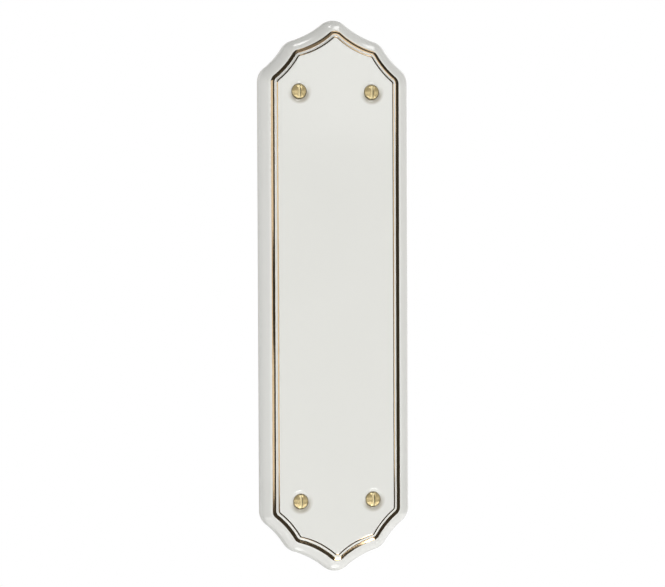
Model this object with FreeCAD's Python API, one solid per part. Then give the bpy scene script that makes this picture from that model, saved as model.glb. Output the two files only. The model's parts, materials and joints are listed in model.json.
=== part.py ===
import FreeCAD, Part
import math
import os
from FreeCAD import Vector

# A glazed porcelain finger plate for a door, and the four brass screws that hold it.
# Frame: +Z runs up the plate's length, +X across it, and the front faces -Y.
# The origin is the centre of the screw pattern, on the plane of the door's face.
# Sizes are in millimetres and angles in degrees.

# Outline: straight sides, with two concave scallops each side of a pointed tip at both ends.
plate_length = 268.0
plate_width = 74.2
corner_drop = 21.6           # from the tip's cusp down to the corner's cusp
shoulder_drop = 9.7          # from the tip's cusp down to the shoulder's cusp
shoulder_span = 35.8         # between the two shoulder cusps
corner_scallop_radius = 48.0
tip_scallop_radius = 54.0

# Section of the rim, from the outside to the flat field.
side_height = 2.5            # straight wall that stands on the door
side_round = 4.2             # first radius of the rim above that wall
crest_height = 7.8           # top of the rounded rim, under the painted band
field_height = 8.6           # face of the flat field
rim_width = 7.2              # from the outline to the foot of the step
step_width = 1.4             # cove and shoulder between the rim and the field

# Hollow back.
land_width = 5.0             # flat edge that bears on the door
recess_depth = 3.0
recess_slope = 1.2           # how far the wall leans in over its depth
boss_diameter = 14.0         # bearing pad round each screw

# Screws, and the holes that take them.
screw_spacing_x = 36.0
screw_spacing_z = 198.0
head_diameter = 7.6
head_edge = 0.2              # plain edge between the countersink and the dome
dome_height = 1.7
cone_angle = 90.0            # countersink, measured across
head_sink = 0.5              # depth of the head's edge below the field
shank_diameter = 3.9         # plain part, which ends at the door's face
thread_diameter = 3.7        # outside of the thread
screw_length = 19.0          # from the head's edge to the point
point_length = 4.0
slot_width = 1.0
slot_depth = 1.45            # from the top of the dome
slot_turns = (0.0, 2.5, -4.0, -1.5)   # as the screws were left
hole_clearance = 0.25        # round the shank
mouth_round = 1.2            # glaze drawn over the edge of the countersink

out = Vector(0, -1, 0)
centre = Vector(0, 0, 0)

inset = rim_width + step_width
tip = Vector(0, 0, plate_length / 2 - inset)
shoulder = Vector(shoulder_span / 2, 0, tip.z - shoulder_drop)
corner = Vector(plate_width / 2 - inset, 0, tip.z - corner_drop)


def line(a, b):
    return Part.LineSegment(a, b).toShape()


def chain(points):
    return [line(a, b) for a, b in zip(points, points[1:])]


def arc(a, on, b):
    return Part.Arc(a, on, b).toShape()


def arc_about(hub, radius, start, end):
    """An arc round hub in the section's plane, between two angles in degrees."""
    points = []
    for angle in (start, (start + end) / 2, end):
        turn = math.radians(angle)
        points.append(hub + Vector(radius * math.cos(turn), -radius * math.sin(turn), 0))
    return arc(*points)


def section_point(reach, height):
    """A point of a section: reach outward from the field's edge, height off the door."""
    return Vector(reach, -height, 0)


def closed_section(edges, low, high):
    """A face from the edges of a section, closed along the field's edge."""
    foot = section_point(0, low)
    top = section_point(0, high)
    return Part.Face(Part.Wire([line(top, foot)] + edges))


def heading(direction):
    """The angle of a direction in the plate's plane, turned from +X towards +Z."""
    return math.degrees(math.atan2(direction.z, direction.x))


def placed(section, point, angle):
    copy = section.copy()
    copy.rotate(centre, out, angle)
    copy.translate(point)
    return copy


def turned(section, point, start, end, hub):
    """Sweep the section round hub, from the heading start to the heading end."""
    axis = out if end > start else -out
    return placed(section, point, start).revolve(hub, axis, abs(end - start))


def scallop_hub(start, end, radius):
    """Centre of a concave arc between two cusps: it lies outside the plate."""
    chord = end - start
    outward = Vector(chord.z, 0, -chord.x).normalize()
    reach = math.sqrt(radius ** 2 - (chord.Length / 2) ** 2)
    return (start + end) / 2 + outward * reach


def mirrored(shapes, normal):
    return [shape.mirror(centre, normal) for shape in shapes]


def swept_plate(section, low, high):
    """A solid whose edge has the given section all round the scalloped outline."""
    scallops = ((corner, shoulder, corner_scallop_radius), (shoulder, tip, tip_scallop_radius))
    pieces = []
    edges = []
    last = 0.0
    for start, end, radius in scallops:
        hub = scallop_hub(start, end, radius)
        entry = heading(hub - start)
        leave = heading(hub - end)
        pieces.append(turned(section, start, last, entry, start))
        pieces.append(turned(section, start, entry, leave, hub))
        on = hub + ((start + end) / 2 - hub).normalize() * radius
        edges.append(arc(start, on, end))
        last = leave
    across = Vector(1, 0, 0)
    along = Vector(0, 0, 1)
    low_corner = Vector(corner.x, 0, -corner.z)
    side = [placed(section, low_corner, 0).extrude(corner - low_corner)]
    side_edge = [line(low_corner, corner)]
    end_pieces = pieces + mirrored(pieces, across) + [turned(section, tip, last, 180 - last, tip)]
    end_edges = edges + mirrored(edges, across)
    rim = side + mirrored(side, across) + end_pieces + mirrored(end_pieces, along)
    loop = side_edge + mirrored(side_edge, across) + end_edges + mirrored(end_edges, along)
    field = Part.Face(Part.Wire(Part.sortEdges(loop)[0]))
    field.translate(out * low)
    core = field.extrude(out * (high - low))
    return core.multiFuse(rim).removeSplitter()


def rim_section():
    """Straight side, a rounded rim of two arcs, then a cove and a shoulder up to the field."""
    side_foot = section_point(inset, 0)
    side_top = section_point(inset, side_height)
    side_hub = section_point(inset - side_round, side_height)
    run = rim_width - side_round
    rise = crest_height - side_height
    crest_round = (run ** 2 + rise ** 2 - side_round ** 2) / (2 * (rise - side_round))
    crest_hub = section_point(step_width, crest_height - crest_round)
    blend = math.degrees(math.atan2(crest_round - rise, run))

    step = field_height - crest_height
    sweep = 2 * math.degrees(math.atan2(step, step_width))
    step_round = step_width / (2 * math.sin(math.radians(sweep)))
    cove_hub = section_point(step_width, crest_height + step_round)
    shoulder_hub = section_point(0, field_height - step_round)
    edges = [
        line(section_point(0, 0), side_foot),
        line(side_foot, side_top),
        arc_about(side_hub, side_round, 0, blend),
        arc_about(crest_hub, crest_round, blend, 90),
        arc_about(cove_hub, step_round, -90, -90 - sweep),
        arc_about(shoulder_hub, step_round, 90 - sweep, 90),
    ]
    return closed_section(edges, 0, field_height)


def recess_section(cut):
    """Section of the hollow back, with a sloping wall. It starts cut below the land."""
    reach = inset - land_width
    points = [
        section_point(0, -cut),
        section_point(reach, -cut),
        section_point(reach, 0),
        section_point(reach - recess_slope, recess_depth),
        section_point(0, recess_depth),
    ]
    return closed_section(chain(points), -cut, recess_depth)


def revolved(edges, at):
    """A solid turned round the axis of a screw at the given place."""
    solid = Part.Face(Part.Wire(edges)).revolve(centre, Vector(0, 1, 0), 360)
    solid.translate(at)
    return solid


def cone_run(rise):
    """How far the countersink widens over a rise."""
    return rise * math.tan(math.radians(cone_angle / 2))


def hole_tool(at, cut):
    """Clearance hole with its countersink and a rounded, glazed mouth."""
    bore = shank_diameter / 2 + hole_clearance
    mouth = head_diameter / 2 + cone_run(head_sink)
    seat_foot = field_height - (mouth - bore) / cone_run(1)
    half = math.radians(cone_angle / 2)
    setback = mouth_round * math.tan((math.pi / 2 - half) / 2)
    seat_top = section_point(mouth - setback * math.sin(half), field_height - setback * math.cos(half))
    lip = section_point(mouth + setback, field_height)
    round_hub = section_point(mouth + setback, field_height - mouth_round)
    on = round_hub + (seat_top + lip - round_hub * 2).normalize() * mouth_round
    edges = chain([
        section_point(0, field_height + cut),
        section_point(0, -cut),
        section_point(bore, -cut),
        section_point(bore, seat_foot),
        seat_top,
    ])
    edges.append(arc(seat_top, on, lip))
    edges += chain([
        lip,
        section_point(mouth + setback, field_height + cut),
        section_point(0, field_height + cut),
    ])
    return revolved(edges, at)


def screw(at, turn):
    """Raised countersunk wood screw, with a plain cylinder in place of its fine thread."""
    radius = head_diameter / 2
    shank = shank_diameter / 2
    thread = thread_diameter / 2
    rim = field_height - head_sink
    cone_foot = rim - (radius - shank) / cone_run(1)
    crown = rim + head_edge + dome_height
    point = rim - screw_length
    dome_radius = (radius ** 2 + dome_height ** 2) / (2 * dome_height)
    lean = math.asin(radius / dome_radius) / 2
    dome_hub = section_point(0, crown - dome_radius)
    on = dome_hub + Vector(math.sin(lean), -math.cos(lean), 0) * dome_radius
    edges = chain([
        section_point(0, crown),
        section_point(0, point),
        section_point(thread, point + point_length),
        section_point(thread, 0),
        section_point(shank, 0),
        section_point(shank, cone_foot),
        section_point(radius, rim),
        section_point(radius, rim + head_edge),
    ])
    edges.append(arc(section_point(radius, rim + head_edge), on, section_point(0, crown)))
    body = revolved(edges, at)
    slot = Part.makeBox(slot_width, 2 * slot_depth, head_diameter * 2)
    slot.translate(Vector(-slot_width / 2, -crown - slot_depth, -head_diameter))
    slot.rotate(centre, Vector(0, 1, 0), turn)
    slot.translate(at)
    return body.cut(slot)


def screw_places():
    x = screw_spacing_x / 2
    z = screw_spacing_z / 2
    return [Vector(-x, 0, z), Vector(x, 0, z), Vector(-x, 0, -z), Vector(x, 0, -z)]


def finger_plate():
    plate = swept_plate(rim_section(), 0, field_height)
    cut = field_height
    recess = swept_plate(recess_section(cut), -cut, recess_depth)
    for at in screw_places():
        boss = Part.makeCylinder(boss_diameter / 2, recess_depth + 2 * cut, at - out * 2 * cut, out)
        recess = recess.cut(boss)
    plate = plate.cut(recess)
    for at in screw_places():
        plate = plate.cut(hole_tool(at, cut))
    return plate


def fixing_screws():
    return Part.makeCompound([screw(at, turn) for at, turn in zip(screw_places(), slot_turns)])


os.makedirs("parts", exist_ok=True)
finger_plate().exportStep("parts/finger_plate.step")
fixing_screws().exportStep("parts/fixing_screws.step")
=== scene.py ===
import json
import math

import bmesh
import bpy
from mathutils import Matrix, Vector


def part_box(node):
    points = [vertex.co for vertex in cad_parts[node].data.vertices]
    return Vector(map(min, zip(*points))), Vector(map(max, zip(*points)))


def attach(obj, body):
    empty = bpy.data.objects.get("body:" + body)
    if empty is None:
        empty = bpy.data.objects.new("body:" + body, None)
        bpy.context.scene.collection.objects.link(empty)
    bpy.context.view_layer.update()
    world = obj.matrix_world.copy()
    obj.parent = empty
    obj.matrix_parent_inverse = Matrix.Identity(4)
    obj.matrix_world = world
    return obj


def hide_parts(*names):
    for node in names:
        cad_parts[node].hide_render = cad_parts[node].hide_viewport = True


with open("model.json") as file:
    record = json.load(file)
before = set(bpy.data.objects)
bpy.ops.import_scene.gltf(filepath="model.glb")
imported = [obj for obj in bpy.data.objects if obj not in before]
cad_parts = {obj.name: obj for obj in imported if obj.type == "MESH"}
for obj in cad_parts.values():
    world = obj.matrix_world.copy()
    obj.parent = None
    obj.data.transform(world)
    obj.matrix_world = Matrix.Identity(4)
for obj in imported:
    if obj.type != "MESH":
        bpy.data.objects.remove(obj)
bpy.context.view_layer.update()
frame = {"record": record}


# The plate: one piece of pressed porcelain, glazed all over but for its back, and painted with two
# lines of liquid gold that are fired onto the glaze. It is hollow behind, with a pad round each
# screw hole, and the holes are countersunk before the glaze goes on, so their mouths are rounded.

mm = 0.001
plate_low, plate_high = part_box("finger_plate")
half_width = plate_high.x
half_length = plate_high.z
field_height = -plate_low.y

side_height = 2.5 * mm
side_round = 4.2 * mm
crest_height = 7.8 * mm
rim_width = 7.2 * mm
step_width = 1.4 * mm
inset = rim_width + step_width         # from the outline in to the field's edge, where reach is 0
crown_start = -0.9 * mm        # reach at which the field begins to fall
crown_round = 5.08 * mm
crown_fall = 16.0              # slope at the end of the crown, in degrees
step_fall = 60.5               # steepest slope of the step
step_round = 0.614 * mm
foot_round = 0.35 * mm
land_width = 5.0 * mm
recess_depth = 3.0 * mm
recess_slope = 1.2 * mm
pad_radius = 7.0 * mm
flat_strip = 0.4 * mm          # narrow flat face beside each rounding, so that the flats stay flat
round_steps = 72               # sides of every round hole and screw

corner_drop = 21.6 * mm        # cusps of the outline, down from its tip and out from the middle
shoulder_drop = 9.7 * mm
shoulder_out = 17.9 * mm
outline_scallops = (48.0 * mm, 54.0 * mm)
field_corner_drop = 22.4 * mm  # and those of the field
field_shoulder_drop = 10.9 * mm
field_shoulder_out = 17.0 * mm
field_tip_drop = 1.9 * mm
field_scallops = (42.7 * mm, 40.7 * mm)
field_round = 1.7 * mm

head_radius = 3.8 * mm
head_sink = 0.5 * mm
bore_radius = 2.2 * mm
mouth_round = 3.8 * mm

band_reach = (1.5 * mm, 3.3 * mm)      # painted band on the crest, measured out from the field
line_reach = (-0.18 * mm, 0.55 * mm)   # fine line on the crowned edge of the field

screw_mount = frame["record"]["mounts"][0]
spacing_x = screw_mount["dims"]["spacing_x_mm"] * mm
spacing_z = screw_mount["dims"]["spacing_y_mm"] * mm
screw_places = [Vector((x * spacing_x / 2, 0, z * spacing_z / 2)) for z in (1, -1) for x in (-1, 1)]


def heading(direction):
    """The angle of a direction in the plate's plane."""
    return math.atan2(direction.z, direction.x)


def toward(angle):
    """The direction at an angle in the plate's plane, of length one."""
    return Vector((math.cos(angle), 0, math.sin(angle)))


def between(start, end, steps):
    """Evenly spaced values from start up to, but not including, end."""
    return [start + (end - start) * i / steps for i in range(steps)]


def quarter_run(corner, shoulder, tip, scallops, offset):
    """Points from the middle of a side up to the tip, along three cusps joined by hollow
    scallops and then moved outward by an offset, which rounds the cusps."""
    side_steps = 30
    scallop_steps = (26, 34)
    cusp_steps = 12
    points = [Vector((corner.x + offset, 0, z)) for z in between(0, corner.z, side_steps)]
    last = 0.0
    for start, end, radius, steps in zip((corner, shoulder), (shoulder, tip), scallops, scallop_steps):
        chord = end - start
        outward = Vector((chord.z, 0, -chord.x)).normalized()
        hub = (start + end) / 2 + outward * math.sqrt(radius ** 2 - (chord.length / 2) ** 2)
        entry = heading(hub - start)
        leave = heading(hub - end)
        points += [start + toward(angle) * offset for angle in between(last, entry, cusp_steps)]
        points += [hub - toward(angle) * (radius - offset) for angle in between(entry, leave, steps)]
        last = leave
    points += [tip + toward(angle) * offset for angle in between(last, math.pi / 2, cusp_steps)]
    return points + [tip + Vector((0, 0, offset))]


def flipped(stations, x, z):
    """Stations mirrored left to right where x is -1, and top to bottom where z is -1."""
    turn = Vector((x, 1, z))
    return [(base * turn, outward * turn) for base, outward in stations]


def plate_stations():
    """The whole way round the plate: a point of the field's edge, and the way out from it across
    the rim. The field's scallops are a little deeper than the outline's, and its cusps sharper."""
    tip_z = half_length - inset
    corner = Vector((half_width - inset, 0, tip_z - corner_drop))
    shoulder = Vector((shoulder_out, 0, tip_z - shoulder_drop))
    tip = Vector((0, 0, tip_z))
    outline = quarter_run(corner, shoulder, tip, outline_scallops, inset)
    field_corner = Vector((half_width - inset - field_round, 0, tip_z - field_corner_drop))
    field_shoulder = Vector((field_shoulder_out, 0, tip_z - field_shoulder_drop))
    field_tip = Vector((0, 0, tip_z - field_tip_drop))
    field = quarter_run(field_corner, field_shoulder, field_tip, field_scallops, field_round)
    right_top = [(base, (edge - base) / inset) for base, edge in zip(field, outline)]
    # a mirrored run is reversed to carry on from the last one, without the points that they share
    top = right_top + flipped(right_top, -1, 1)[::-1][1:]
    return top + flipped(top, 1, -1)[::-1][1:-1]


def circle_stations(centre):
    """The way round a screw hole, in the same form as the way round the plate."""
    return [(centre, toward(math.tau * i / round_steps)) for i in range(round_steps)]


def skin(bm, rows):
    """Join each closed row of vertices to the next by faces."""
    for lower, upper in zip(rows, rows[1:]):
        for i in range(len(lower)):
            bm.faces.new((lower[i - 1], lower[i], upper[i], upper[i - 1]))


def sweep(bm, stations, section, reach_layer):
    """Skin a section, given as reach, height and the reach that the painter sees, round the
    stations. Returns the rows of vertices."""
    rows = []
    for reach, height, painted in section:
        places = [base + outward * reach for base, outward in stations]
        row = [bm.verts.new((place.x, -height, place.z)) for place in places]
        for vertex in row:
            vertex[reach_layer] = painted
        rows.append(row)
    skin(bm, rows)
    return rows


def edges_round(bm, row):
    """The edges along a closed row of vertices."""
    return [bm.edges.get((row[i - 1], row[i])) for i in range(len(row))]


def mesh_from(bm, name):
    """Store finished faces as a mesh."""
    mesh = bpy.data.meshes.new(name)
    bm.to_mesh(mesh)
    bm.free()
    return mesh


def bend(points, slope, radius, turn, steps):
    """Carry a section on by an arc. The slope is how far it already falls, and turn is added to
    it, in degrees. Returns the new slope."""
    reach, height = points[-1]
    side = 1 if turn > 0 else -1
    start = math.radians(slope)
    for i in range(1, steps + 1):
        angle = math.radians(slope + turn * i / steps)
        out = side * radius * (math.sin(angle) - math.sin(start))
        down = side * radius * (math.cos(start) - math.cos(angle))
        points.append((reach + out, height - down))
    return slope + turn


bare_reach = inset + 1.0 * mm          # stands for the unglazed back in the painter's reach


def rim_section():
    """From the flat field down the step, over the crest and the side, then round the hollow back."""
    run = rim_width - side_round
    rise = crest_height - side_height
    crest_round = (run ** 2 + rise ** 2 - side_round ** 2) / (2 * (rise - side_round))
    crest_turn = math.degrees(math.atan2(run, crest_round - rise))
    front = [(crown_start - flat_strip, field_height), (crown_start, field_height)]
    slope = bend(front, 0, crown_round, crown_fall, steps=8)
    slope = bend(front, slope, step_round, step_fall - crown_fall, steps=10)
    slope = bend(front, slope, step_round, -step_fall, steps=12)
    slope = bend(front, slope, crest_round, crest_turn, steps=22)
    bend(front, slope, side_round, 90 - crest_turn, steps=14)
    back = [(inset, foot_round)]
    bend(back, 90, foot_round, 90, steps=4)
    hollow = inset - land_width
    back += [(hollow, 0), (hollow - recess_slope, recess_depth), (0, recess_depth)]
    back.append((crown_start, recess_depth))
    return [(r, h, r) for r, h in front] + [(r, h, bare_reach) for r, h in back]


def hole_section():
    """From the flat field over the rounded mouth, down the countersink and bore, to the pad behind.
    The painter's reach falls on from minus the inset as the glaze goes down into the mouth, and sets the
    shade painted there."""
    mouth = head_radius + head_sink
    countersink_lean = math.radians(45)
    lip = mouth + mouth_round * math.tan(countersink_lean / 2)
    seat_foot = field_height - (mouth - bore_radius)
    front = [(lip + flat_strip, field_height), (lip, field_height)]
    mouth_steps = 10
    for i in range(1, mouth_steps + 1):
        angle = countersink_lean * i / mouth_steps
        fall = mouth_round * (1 - math.cos(angle))
        front.append((lip - mouth_round * math.sin(angle), field_height - fall))
    front.append((bore_radius, seat_foot))
    back = [(bore_radius, 0), (pad_radius, 0), (pad_radius, recess_depth)]
    back.append((pad_radius + flat_strip, recess_depth))
    shade_start = lip + flat_strip
    return [(r, h, r - shade_start - inset) for r, h in front] + [(r, h, bare_reach) for r, h in back]


painted_shade_side = Vector((0.3, 0, -1)).normalized()        # the side of each screw where shade is painted, in its mouth and on its head's edge
shade_even = 0.6               # how fast a mouth's painted shade deepens inward on the whole
shade_lean = 1.9               # and how much faster on the side of the painted shade


def paint_mouth_shading(hole, place, reach_layer):
    """Deepen the painter's reach in a hole's mouth, most on one side, so that the shade painted on
    the glaze there follows it."""
    for vertex in (vertex for row in hole for vertex in row):
        into_mouth = -inset - vertex[reach_layer]
        if into_mouth > 0:
            aside = Vector((vertex.co.x - place.x, 0, vertex.co.z - place.z)).normalized()
            deepening = shade_even + shade_lean * aside.dot(painted_shade_side)
            vertex[reach_layer] = -inset - into_mouth * deepening


def build_plate():
    """The rim swept round the plate, the four holes swept round their screws, and flat faces between."""
    bm = bmesh.new()
    reach_layer = bm.verts.layers.float.new("reach")
    rows = sweep(bm, plate_stations(), rim_section(), reach_layer)
    field_edges = edges_round(bm, rows[0])
    hollow_edges = edges_round(bm, rows[-1])
    for place in screw_places:
        hole = sweep(bm, circle_stations(place), hole_section(), reach_layer)
        # the reach in each mouth sets the shade painted there
        paint_mouth_shading(hole, place, reach_layer)
        field_edges += edges_round(bm, hole[0])
        hollow_edges += edges_round(bm, hole[-1])
    for edges in (field_edges, hollow_edges):
        bmesh.ops.triangle_fill(bm, use_beauty=True, edges=edges)
    bmesh.ops.recalc_face_normals(bm, faces=bm.faces)
    glaze_end = (inset + bare_reach) / 2
    for face in bm.faces:
        furthest = max(vertex[reach_layer] for vertex in face.verts)
        face.material_index = 1 if furthest > glaze_end else 0
    return mesh_from(bm, "porcelain_plate")


def add_piece(name, mesh, materials, sharp_angle):
    """Put a finished mesh in the scene with its materials, smooth but for its sharp edges."""
    for material in materials:
        mesh.materials.append(material)
    mesh.shade_smooth()
    mesh.set_sharp_from_angle(angle=math.radians(sharp_angle))
    piece = bpy.data.objects.new(name, mesh)
    bpy.context.scene.collection.objects.link(piece)
    return piece


def new_group(name, inputs, outputs):
    """An empty node group with value inputs, given with their defaults, and value outputs."""
    group = bpy.data.node_groups.new(name, "ShaderNodeTree")
    for label, value in inputs.items():
        socket = group.interface.new_socket(label, in_out="INPUT", socket_type="NodeSocketFloat")
        socket.default_value = value
    for label in outputs:
        group.interface.new_socket(label, in_out="OUTPUT", socket_type="NodeSocketFloat")
    return group, group.nodes.new("NodeGroupInput"), group.nodes.new("NodeGroupOutput")


def add_math(tree, operation, first, second=None, clamp=False):
    """A Math node on two sockets or numbers. Returns its output."""
    node = tree.nodes.new("ShaderNodeMath")
    node.operation = operation
    node.use_clamp = clamp
    for socket, value in zip(node.inputs, (first, second)):
        if isinstance(value, (int, float)):
            socket.default_value = value
        elif value is not None:
            tree.links.new(value, socket)
    return node.outputs[0]


def add_noise(tree, scale, detail):
    """Noise over the object, from 0 to 1, with its scale in cells to the metre."""
    place = tree.nodes.new("ShaderNodeTexCoord")
    noise = tree.nodes.new("ShaderNodeTexNoise")
    noise.inputs["Detail"].default_value = detail
    if isinstance(scale, (int, float)):
        noise.inputs["Scale"].default_value = scale
    else:
        tree.links.new(scale, noise.inputs["Scale"])
    tree.links.new(place.outputs["Object"], noise.inputs["Vector"])
    return noise.outputs["Fac"]


def mottle_group():
    """Soft cloudy variation round a middle value, for a glaze's tone or a metal's polish."""
    group, entry, leave = new_group("mottle", {"Scale": 50, "Middle": 0.5, "Swing": 0.1}, ["Value"])
    cloud = add_noise(group, entry.outputs["Scale"], detail=3)
    centred = add_math(group, "SUBTRACT", cloud, 0.5)
    swing = add_math(group, "MULTIPLY", centred, entry.outputs["Swing"])
    value = add_math(group, "ADD", swing, entry.outputs["Middle"])
    group.links.new(value, leave.inputs["Value"])
    return group


def reach_strip_group():
    """Mask of the strip between two reaches, with softly wandering edges: a brushed line of gold, the
    greyer glaze over the outer rim, or the painted shade in a hole's mouth."""
    inputs = {"Reach": 0, "Inner": 0, "Outer": 1, "Edge": 0.05 * mm, "Wander": 0.1 * mm}
    group, entry, leave = new_group("reach_strip", inputs, ["Mask"])
    ports = entry.outputs
    sway = add_math(group, "SUBTRACT", add_noise(group, scale=130, detail=2), 0.5)
    reach = add_math(group, "ADD", ports["Reach"], add_math(group, "MULTIPLY", sway, ports["Wander"]))
    inward = add_math(group, "SUBTRACT", reach, ports["Inner"])
    outward = add_math(group, "SUBTRACT", ports["Outer"], reach)
    past_inner = add_math(group, "DIVIDE", inward, ports["Edge"], clamp=True)
    before_outer = add_math(group, "DIVIDE", outward, ports["Edge"], clamp=True)
    group.links.new(add_math(group, "MULTIPLY", past_inner, before_outer), leave.inputs["Mask"])
    return group


mottle = mottle_group()
reach_strip = reach_strip_group()


def add_group(tree, group, **values):
    """Place a node group with its own values, given as numbers or sockets. Returns its output."""
    node = tree.nodes.new("ShaderNodeGroup")
    node.node_tree = group
    for label, value in values.items():
        if isinstance(value, (int, float)):
            node.inputs[label].default_value = value
        else:
            tree.links.new(value, node.inputs[label])
    return node.outputs[0]


def add_mix(tree, share, first, second):
    """Mix two colours, given as sockets or as red, green and blue. Returns the mixed colour."""
    node = tree.nodes.new("ShaderNodeMix")
    node.data_type = "RGBA"
    tree.links.new(share, node.inputs["Factor"])
    first_colour, second_colour = [socket for socket in node.inputs if socket.type == "RGBA"]
    for socket, value in ((first_colour, first), (second_colour, second)):
        if isinstance(value, tuple):
            socket.default_value = (*value, 1)
        else:
            tree.links.new(value, socket)
    return [socket for socket in node.outputs if socket.type == "RGBA"][0]


def blend_values(tree, share, first, second):
    """A value that is first where share is 0 and second where it is 1."""
    span = add_math(tree, "SUBTRACT", second, first)
    return add_math(tree, "ADD", add_math(tree, "MULTIPLY", span, share), first)


def add_bump(tree, height, distance, shader):
    """Let a height ripple the shader's surface by a distance in metres."""
    bump = tree.nodes.new("ShaderNodeBump")
    bump.inputs["Distance"].default_value = distance
    tree.links.new(height, bump.inputs["Height"])
    tree.links.new(bump.outputs["Normal"], shader.inputs["Normal"])


def new_material(name):
    """A material with its nodes, and the shader in them."""
    material = bpy.data.materials.new(name)
    material.use_nodes = True
    tree = material.node_tree
    return material, tree, tree.nodes["Principled BSDF"]


def glazed_porcelain():
    """White glaze with its painted gold. Over the outer rim the glaze is painted greyer.
    In the holes' mouths a shade is painted, deepest on one side."""
    body_white = (0.790, 0.790, 0.750)
    pooled_white = (0.775, 0.775, 0.735)
    outer_rim_grey = (0.690, 0.688, 0.657)
    # colour of the shade painted in the holes' mouths
    mouth_painted_shade = (0.530, 0.500, 0.430)
    gold = (0.900, 0.680, 0.430)
    worn_gold = (0.820, 0.590, 0.350)
    gold_roughness = 0.07
    grey_from = 3.4 * mm
    below_any_mouth = -2 * inset
    ripple = 0.005 * mm

    material, tree, shader = new_material("glazed_porcelain")
    attribute = tree.nodes.new("ShaderNodeAttribute")
    attribute.attribute_name = "reach"
    reach = attribute.outputs["Fac"]
    masks = []
    for inner, outer in (band_reach, line_reach):
        masks.append(add_group(tree, reach_strip, Reach=reach, Inner=inner, Outer=outer))
    gilt = add_math(tree, "MAXIMUM", *masks)

    cloud = add_group(tree, mottle, Scale=30, Middle=0.5, Swing=1.2)
    field_glaze = add_mix(tree, cloud, pooled_white, body_white)
    # the glaze is painted greyer from here outward over the rim
    rim_grey_mask = add_group(tree, reach_strip, Reach=reach, Inner=grey_from, Outer=bare_reach, Edge=1.2 * mm)
    greyed_glaze = add_mix(tree, rim_grey_mask, field_glaze, outer_rim_grey)
    # shade painted into the mouths, deepest on one side
    mouth = {"Inner": below_any_mouth, "Outer": -inset, "Edge": 3.2 * mm}
    mouth_shading_mask = add_group(tree, reach_strip, Reach=reach, **mouth)
    glaze = add_mix(tree, mouth_shading_mask, greyed_glaze, mouth_painted_shade)
    brushed = add_group(tree, mottle, Scale=220, Middle=0.25, Swing=1.4)
    gilding = add_mix(tree, brushed, gold, worn_gold)
    tree.links.new(add_mix(tree, gilt, glaze, gilding), shader.inputs["Base Color"])

    shader.inputs["IOR"].default_value = 1.65
    tree.links.new(gilt, shader.inputs["Metallic"])
    glaze_gloss = add_group(tree, mottle, Scale=90, Middle=0.10, Swing=0.05)
    tree.links.new(blend_values(tree, gilt, glaze_gloss, gold_roughness), shader.inputs["Roughness"])
    add_bump(tree, add_noise(tree, scale=260, detail=2), ripple, shader)
    return material


def bare_porcelain():
    """The fired body where no glaze was put on: matt, a little warmer, and faintly grained."""
    dark_body = (0.660, 0.640, 0.590)
    light_body = (0.730, 0.715, 0.665)
    grain = 0.05 * mm
    material, tree, shader = new_material("bare_porcelain")
    cloud = add_group(tree, mottle, Scale=60, Middle=0.5, Swing=1.4)
    tree.links.new(add_mix(tree, cloud, dark_body, light_body), shader.inputs["Base Color"])
    matt = add_group(tree, mottle, Scale=300, Middle=0.72, Swing=0.2)
    tree.links.new(matt, shader.inputs["Roughness"])
    add_bump(tree, add_noise(tree, scale=1500, detail=4), grain, shader)
    return material


porcelains = [glazed_porcelain(), bare_porcelain()]
plate = add_piece("porcelain_plate", build_plate(), porcelains, sharp_angle=32)
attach(plate, "root")
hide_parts("finger_plate")


# The four screws: raised countersunk slotted wood screws, turned and thread-cut from brass bar and
# polished on the head. Each sits in its countersink and its thread stands out behind, where it
# goes into the door. The slots were left upright or nearly so.

dome_height = 1.7 * mm
dome_lean = 41.0               # slope where the dome meets its rounded edge, in degrees
edge_lean = 75.0               # and at the end of that edge
edge_inset = 0.03 * mm         # the edge ends this far inside the head's full radius
edge_bevel = 0.06 * mm         # and turns under it here,
edge_drop = 0.08 * mm          # this far below the head's rim
head_edge = 0.2 * mm
shank_radius = 1.95 * mm
thread_radius = 1.85 * mm
root_radius = 1.32 * mm
thread_pitch = 1.45 * mm
ridge_spread = 0.32            # half the width of the thread's ridge, in turns
run_out_turns = 1.2            # how gently the thread rises out of the plain shank
screw_length = 19.0 * mm
point_length = 4.0 * mm
head_rim = field_height - head_sink
crown = head_rim + head_edge + dome_height
tip_height = head_rim - screw_length

slot_width = 1.15 * mm
slot_depth = 1.65 * mm
slot_turns = (0.0, 1.0, -3.5, -1.5)

slot_lit_reach = 3.15 * mm          # the light painted on the slot's floor stops this far either side of the middle
# beyond this radius from a point up and left of the middle, the head's edge is painted with shade
edge_shade_radius = 3.3 * mm
edge_shade_centre = Vector((-0.10, 0, 0.14)) * mm        # set up and left, so the edge's painted shade reaches furthest in at the lower right
deep_shade_spread = 0.25         # cosine of the angle from the painted shade side within which the edge's shade is painted deeper
turned, painted_floor_light, painted_edge_shade, painted_deep_shade = range(4)      # places in a screw's list of metals: turned brass, painted light, painted shade, deeper painted shade


def head_section():
    """Radius and height of the head and the plain shank, from below the pole down to the thread."""
    dome_radius = (head_radius ** 2 + dome_height ** 2) / (2 * dome_height)
    sines = math.sin(math.radians(edge_lean)) - math.sin(math.radians(dome_lean))
    dome_reach = dome_radius * math.sin(math.radians(dome_lean))
    edge_round = (head_radius - edge_inset - dome_reach) / sines
    points = [(0, crown)]
    lean = bend(points, 0, dome_radius, dome_lean, steps=18)
    bend(points, lean, edge_round, edge_lean - dome_lean, steps=8)
    points.append((head_radius - edge_bevel, head_rim - edge_drop))
    points.append((shank_radius, head_rim - (head_radius - shank_radius)))
    points.append((shank_radius, 0))
    return points[1:]


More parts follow.
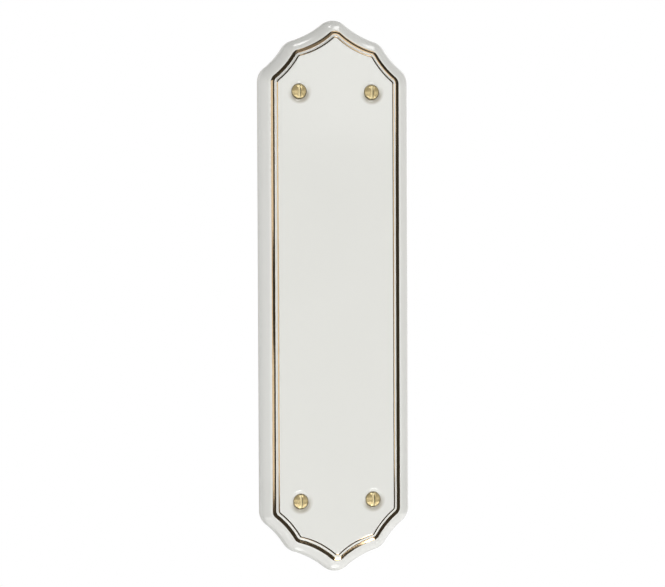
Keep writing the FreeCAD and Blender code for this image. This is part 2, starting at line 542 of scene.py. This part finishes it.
def thread_reach(height, angle):
    """Radius of the thread's ridged surface at a height below the plate and an angle round it."""
    taper = min(1, (height - tip_height) / point_length)
    crest = thread_radius * taper
    root = root_radius * taper ** 1.1
    phase = (height / thread_pitch + angle / math.tau) % 1
    ridge = (crest - root) * max(0, 1 - abs(phase - 0.5) / ridge_spread)
    run_out = min(1, -height / (run_out_turns * thread_pitch))
    plain = thread_radius - (thread_radius - root_radius) * run_out
    return min(crest, min(plain, root + (plain - root_radius)) + ridge)


def screw_blank():
    """A screw without its slot: rows of points round its axis from the head to the tip. The edge of
    the head is painted with shade, and with deeper shade on one side."""
    bm = bmesh.new()
    angles = [math.tau * i / round_steps for i in range(round_steps)]
    rows = []
    for radius, height in head_section():
        ring = [toward(angle) * radius for angle in angles]
        rows.append([bm.verts.new((point.x, -height, point.z)) for point in ring])
    thread_rows = 150
    for j in range(1, thread_rows):
        height = tip_height * j / thread_rows
        ring = [toward(angle) * thread_reach(height, angle) for angle in angles]
        rows.append([bm.verts.new((point.x, -height, point.z)) for point in ring])
    skin(bm, rows)
    for row, height in ((rows[0], crown), (rows[-1], tip_height)):
        pole = bm.verts.new((0, -height, 0))
        for i in range(round_steps):
            bm.faces.new((row[i - 1], row[i], pole))
    bmesh.ops.recalc_face_normals(bm, faces=bm.faces)
    countersunk_from = head_rim - edge_drop - 0.02 * mm
    for face in bm.faces:
        middle = face.calc_center_median()
        aside = Vector((middle.x, 0, middle.z)) - edge_shade_centre
        # the head's edge is painted with shade, deeper on one side
        if -middle.y > countersunk_from and aside.length > edge_shade_radius:
            shaded = aside.normalized().dot(painted_shade_side) > deep_shade_spread
            face.material_index = painted_deep_shade if shaded else painted_edge_shade
    return mesh_from(bm, "screw_blank")


def slot_cutter(turn):
    """A bar across the head, which leaves a floor painted with light, and walls and ends painted with
    shade, where it cuts.
    """
    bm = bmesh.new()
    bmesh.ops.create_cube(bm, size=1)
    bmesh.ops.scale(bm, vec=(slot_width, 2 * slot_depth, 4 * head_radius), verts=bm.verts)
    for end in (-slot_lit_reach, slot_lit_reach):
        everything = bm.verts[:] + bm.edges[:] + bm.faces[:]
        bmesh.ops.bisect_plane(bm, geom=everything, plane_co=(0, 0, end), plane_no=(0, 0, 1))
    # the floor's middle is painted with light, the walls and ends with shade
    for face in bm.faces:
        is_floor = face.normal.y > 0.5
        is_painted_lit = abs(face.calc_center_median().z) < slot_lit_reach
        face.material_index = painted_floor_light if is_floor and is_painted_lit else painted_deep_shade
    bmesh.ops.rotate(bm, matrix=Matrix.Rotation(math.radians(turn), 3, "Y"), verts=bm.verts)
    bmesh.ops.translate(bm, vec=(0, -crown, 0), verts=bm.verts)
    return mesh_from(bm, "slot_cutter")


def build_screw(place, turn, metals):
    """Cut the driver slot across a blank's head, soften its edges, and move it to its place."""
    blank = bpy.data.objects.new("screw_blank", screw_blank())
    cutter = bpy.data.objects.new("slot_cutter", slot_cutter(turn))
    for piece in (blank, cutter):
        for metal in metals:
            piece.data.materials.append(metal)
        bpy.context.scene.collection.objects.link(piece)
    boolean = blank.modifiers.new("slot", "BOOLEAN")
    boolean.operation = "DIFFERENCE"
    boolean.solver = "EXACT"
    boolean.object = cutter
    bevel = blank.modifiers.new("soft_edges", "BEVEL")
    bevel.width = 0.05 * mm
    bevel.segments = 2
    bevel.angle_limit = math.radians(38)
    evaluated = blank.evaluated_get(bpy.context.evaluated_depsgraph_get())
    made = bpy.data.meshes.new_from_object(evaluated)
    made.transform(Matrix.Translation(place))
    bpy.data.objects.remove(blank)
    bpy.data.objects.remove(cutter)
    return made


def screw_brass(name, bright, dull, metallic, roughness):
    """Brass, duller and browner where it isn't rubbed, with fine marks of the tool."""
    material, tree, shader = new_material(name)
    tarnish = add_group(tree, mottle, Scale=350, Middle=0.45, Swing=0.9)
    tree.links.new(add_mix(tree, tarnish, bright, dull), shader.inputs["Base Color"])
    shader.inputs["Metallic"].default_value = metallic
    rubbed = add_group(tree, mottle, Scale=900, Middle=roughness, Swing=0.06)
    tree.links.new(rubbed, shader.inputs["Roughness"])
    tool_marks = 0.004 * mm
    add_bump(tree, add_noise(tree, scale=2500, detail=2), tool_marks, shader)
    return material


# turned brass; brass painted bright for light on the slot floor; brass painted dark for shade at the
# head's edge, and darker for its shaded side and the slot's walls and ends
brasses = [
    screw_brass("turned_brass", (0.80, 0.645, 0.34), (0.74, 0.585, 0.29), metallic=0.5, roughness=0.22),
    screw_brass("slot_floor_painted_light", (1.00, 0.86, 0.50), (0.96, 0.80, 0.43), metallic=0.0, roughness=0.55),
    screw_brass("edge_shade_painted_brass", (0.33, 0.28, 0.165), (0.26, 0.22, 0.12), metallic=0.1, roughness=0.50),
    screw_brass("deep_shade_painted_brass", (0.18, 0.15, 0.08), (0.13, 0.105, 0.05), metallic=0.1, roughness=0.50),
]
for number, (place, turn) in enumerate(zip(screw_places, slot_turns), 1):
    screw = add_piece(f"fixing_screw_{number}", build_screw(place, turn, brasses), [], sharp_angle=30)
    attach(screw, "root")
    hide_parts("fixing_screws")


# The setting: a white studio with a plain pale floor two metres below the plate. Dark cloths hang
# round the camera, with gaps and lit scrims between them, and only reflections show them. Softboxes
# and an even daylight light the plate.

floor_depth = 2.0
floor_radius = 3.0
floor_glow = 0.4               # added where the camera sees it, so that the floor is as white as the rest


def add_floor():
    material, tree, shader = new_material("pale_floor")
    tone = add_group(tree, mottle, Scale=3, Middle=0.5, Swing=1.0)
    trodden = (0.86, 0.86, 0.85)
    clean = (0.90, 0.90, 0.89)
    tree.links.new(add_mix(tree, tone, trodden, clean), shader.inputs["Base Color"])
    shader.inputs["Roughness"].default_value = 0.6
    shader.inputs["Emission Color"].default_value = (1, 1, 1, 1)
    path = tree.nodes.new("ShaderNodeLightPath")
    seen = add_math(tree, "MULTIPLY", path.outputs["Is Camera Ray"], floor_glow)
    tree.links.new(seen, shader.inputs["Emission Strength"])
    bm = bmesh.new()
    bmesh.ops.create_circle(bm, cap_ends=True, segments=96, radius=floor_radius)
    bmesh.ops.translate(bm, vec=(0, 0, -floor_depth), verts=bm.verts)
    add_piece("floor", mesh_from(bm, "floor"), [material], sharp_angle=30)


def from_front(azimuth, elevation, distance):
    """A point in front of the plate: azimuth to the right and elevation upward, in degrees."""
    a = math.radians(azimuth)
    e = math.radians(elevation)
    return Vector((math.sin(a) * math.cos(e), -math.cos(a) * math.cos(e), math.sin(e))) * distance


def cloth(name, tone):
    """A matt woven cloth."""
    material, tree, shader = new_material(name)
    weave = add_group(tree, mottle, Scale=40, Middle=0.5, Swing=1.0)
    light = tuple(1.1 * part for part in tone)
    tree.links.new(add_mix(tree, weave, tone, light), shader.inputs["Base Color"])
    shader.inputs["Roughness"].default_value = 0.95
    return material


def lit_scrim(strength):
    """A white scrim with a lamp behind it, so that it glows evenly."""
    material, tree, shader = new_material("lit_scrim")
    shader.inputs["Base Color"].default_value = (0, 0, 0, 1)
    shader.inputs["Emission Color"].default_value = (1, 1, 1, 1)
    shader.inputs["Emission Strength"].default_value = strength
    return material


def hang(name, material, elevations, low_azimuths, high_azimuths=None, distance=1.8):
    """A cloth or scrim round the camera, seen by reflections only. It fills a range of elevations,
    and a range of azimuths that may differ between its lower and upper edge."""
    high_azimuths = high_azimuths or low_azimuths
    bm = bmesh.new()
    steps = 12
    grid = []
    for j in range(steps + 1):
        elevation = elevations[0] + (elevations[1] - elevations[0]) * j / steps
        left, right = [low + (high - low) * j / steps for low, high in zip(low_azimuths, high_azimuths)]
        azimuths = [left + (right - left) * i / steps for i in range(steps + 1)]
        grid.append([bm.verts.new(from_front(azimuth, elevation, distance)) for azimuth in azimuths])
    for low, high in zip(grid, grid[1:]):
        for i in range(steps):
            bm.faces.new((low[i + 1], low[i], high[i], high[i + 1]))
    panel = add_piece(name, mesh_from(bm, name), [material], sharp_angle=30)
    panel.visible_camera = False
    panel.visible_diffuse = False
    panel.visible_shadow = False


def white_world(daylight):
    """White wherever it is seen, directly or mirrored, and an even daylight on what stands in it."""
    world = bpy.data.worlds.new("studio")
    bpy.context.scene.world = world
    world.use_nodes = True
    tree = world.node_tree
    world.cycles.sampling_method = "NONE"
    background = tree.nodes["Background"]
    path = tree.nodes.new("ShaderNodeLightPath")
    seen = add_math(tree, "ADD", path.outputs["Is Camera Ray"], path.outputs["Is Glossy Ray"])
    seen = add_math(tree, "ADD", seen, path.outputs["Is Transmission Ray"], clamp=True)
    background.inputs["Color"].default_value = (1, 1, 1, 1)
    tree.links.new(blend_values(tree, seen, daylight, 1.0), background.inputs["Strength"])


def softbox(name, azimuth, elevation, power, distance=1.5):
    """A lamp that faces the plate. Reflections don't show it: they show the cloths and scrims."""
    lamp = bpy.data.lights.new(name, "AREA")
    lamp.size = 0.9
    lamp.energy = power
    holder = bpy.data.objects.new(name, lamp)
    holder.location = from_front(azimuth, elevation, distance)
    holder.rotation_euler = holder.location.to_track_quat("Z", "Y").to_euler()
    holder.visible_glossy = False
    holder.visible_camera = False
    bpy.context.scene.collection.objects.link(holder)


add_floor()
black = cloth("black_cloth", (0.034, 0.034, 0.032))
hang("middle_cloth", black, (-12, 6), (-1, 41))
hang("small_cloth", black, (-3.5, 1.5), (-8, -1))
hang("cloth_left_of_window", black, (6, 18), (-1, 10.5))
hang("cloth_right_of_window", black, (6, 18), (21, 41))
hang("upper_left_cloth", black, (12, 50), (-110, 5), distance=1.81)
hang("upper_middle_cloth", black, (18, 26), (5, 42))
hang("upper_right_cloth", black, (11, 50), (34, 110))
hang("upper_scrim", lit_scrim(0.72), (26, 50), (5, 34))
hang("top_cloth", black, (50, 140), (-90, 90))
hang("lower_left_cloth", black, (-48, -11), (-110, 3), distance=1.3)
hang("lower_middle_cloth", black, (-48, -10), (3, 42), distance=1.3)
hang("lower_right_cloth", black, (-48, -10), (42, 110), distance=1.3)
hang("lowest_cloth", black, (-58, -44), (-90, 90), distance=1.1)
hang("under_cloth", black, (-104, -78), (-90, 90), distance=0.98)
hang("centre_window", lit_scrim(0.85), (6, 18), (10.5, 21))
hang("left_window", lit_scrim(0.75), (-12, 12), (-110, -1), distance=1.85)
hang("right_window", lit_scrim(0.40), (-10.5, 11.5), (56, 110))
hang("low_scrim", lit_scrim(4.5), (-33, -17.7), (8.2, 25.6), (12.3, 15.9), distance=1.25)
hang("table_scrim", lit_scrim(1.3), (-79, -42), (-100, 100), distance=0.99)
hang("under_scrim", lit_scrim(4.0), (-92, -60), (-75, 75), (12, 46), distance=0.97)
hang("right_table_scrim", lit_scrim(1.8), (-46, -30), (52, 105), distance=1.27)
hang("left_table_scrim", lit_scrim(2.3), (-44, -35), (-75, -22), distance=1.26)
hang("left_low_scrim", lit_scrim(0.32), (-26, -10), (-110, -13), distance=1.28)
hang("upper_gap", lit_scrim(0.19), (15, 30), (4, 10), distance=1.79)
hang("top_left_scrim", lit_scrim(7.0), (57, 68), (-18, -3), distance=1.7)
hang("top_right_scrim", lit_scrim(5.4), (41, 60), (14, 36), (14, 60), distance=1.7)
white_world(daylight=0.39)
softbox("front_softbox", 0, -2, power=4.6, distance=1.0)
softbox("low_softbox", -1, -36, power=31.5, distance=3.0)
softbox("low_back_softbox", 120, -50, power=11.0)
softbox("high_back_softbox", 120, 50, power=14.0)
softbox("left_back_softbox", -120, 30, power=8.0)


# The camera stands a little to the left of the plate and is turned very slightly off level. Its lens
# is set so that the plate fills the picture's height but for a narrow margin.

camera_azimuth = -13.12
camera_elevation = 1.04
camera_roll = 0.235
camera_distance = 0.9634
image_width = 665
pixels_per_mm = 2.0472         # at the plate
sensor_width = 36.0
aim = Vector((0.00003, 0, 0.00131))


def add_camera():
    camera = bpy.data.cameras.new("camera")
    camera.sensor_width = sensor_width
    camera.lens = pixels_per_mm / mm * camera_distance * sensor_width / image_width
    camera.clip_start = 0.05
    camera.clip_end = 50
    holder = bpy.data.objects.new("camera", camera)
    outward = from_front(camera_azimuth, camera_elevation, 1)
    facing = outward.to_track_quat("Z", "Y").to_matrix().to_4x4()
    roll = Matrix.Rotation(math.radians(-camera_roll), 4, "Z")
    holder.matrix_world = Matrix.Translation(aim + outward * camera_distance) @ facing @ roll
    bpy.context.scene.collection.objects.link(holder)
    bpy.context.scene.camera = holder


add_camera()
bpy.context.scene.view_settings.view_transform = "Standard"
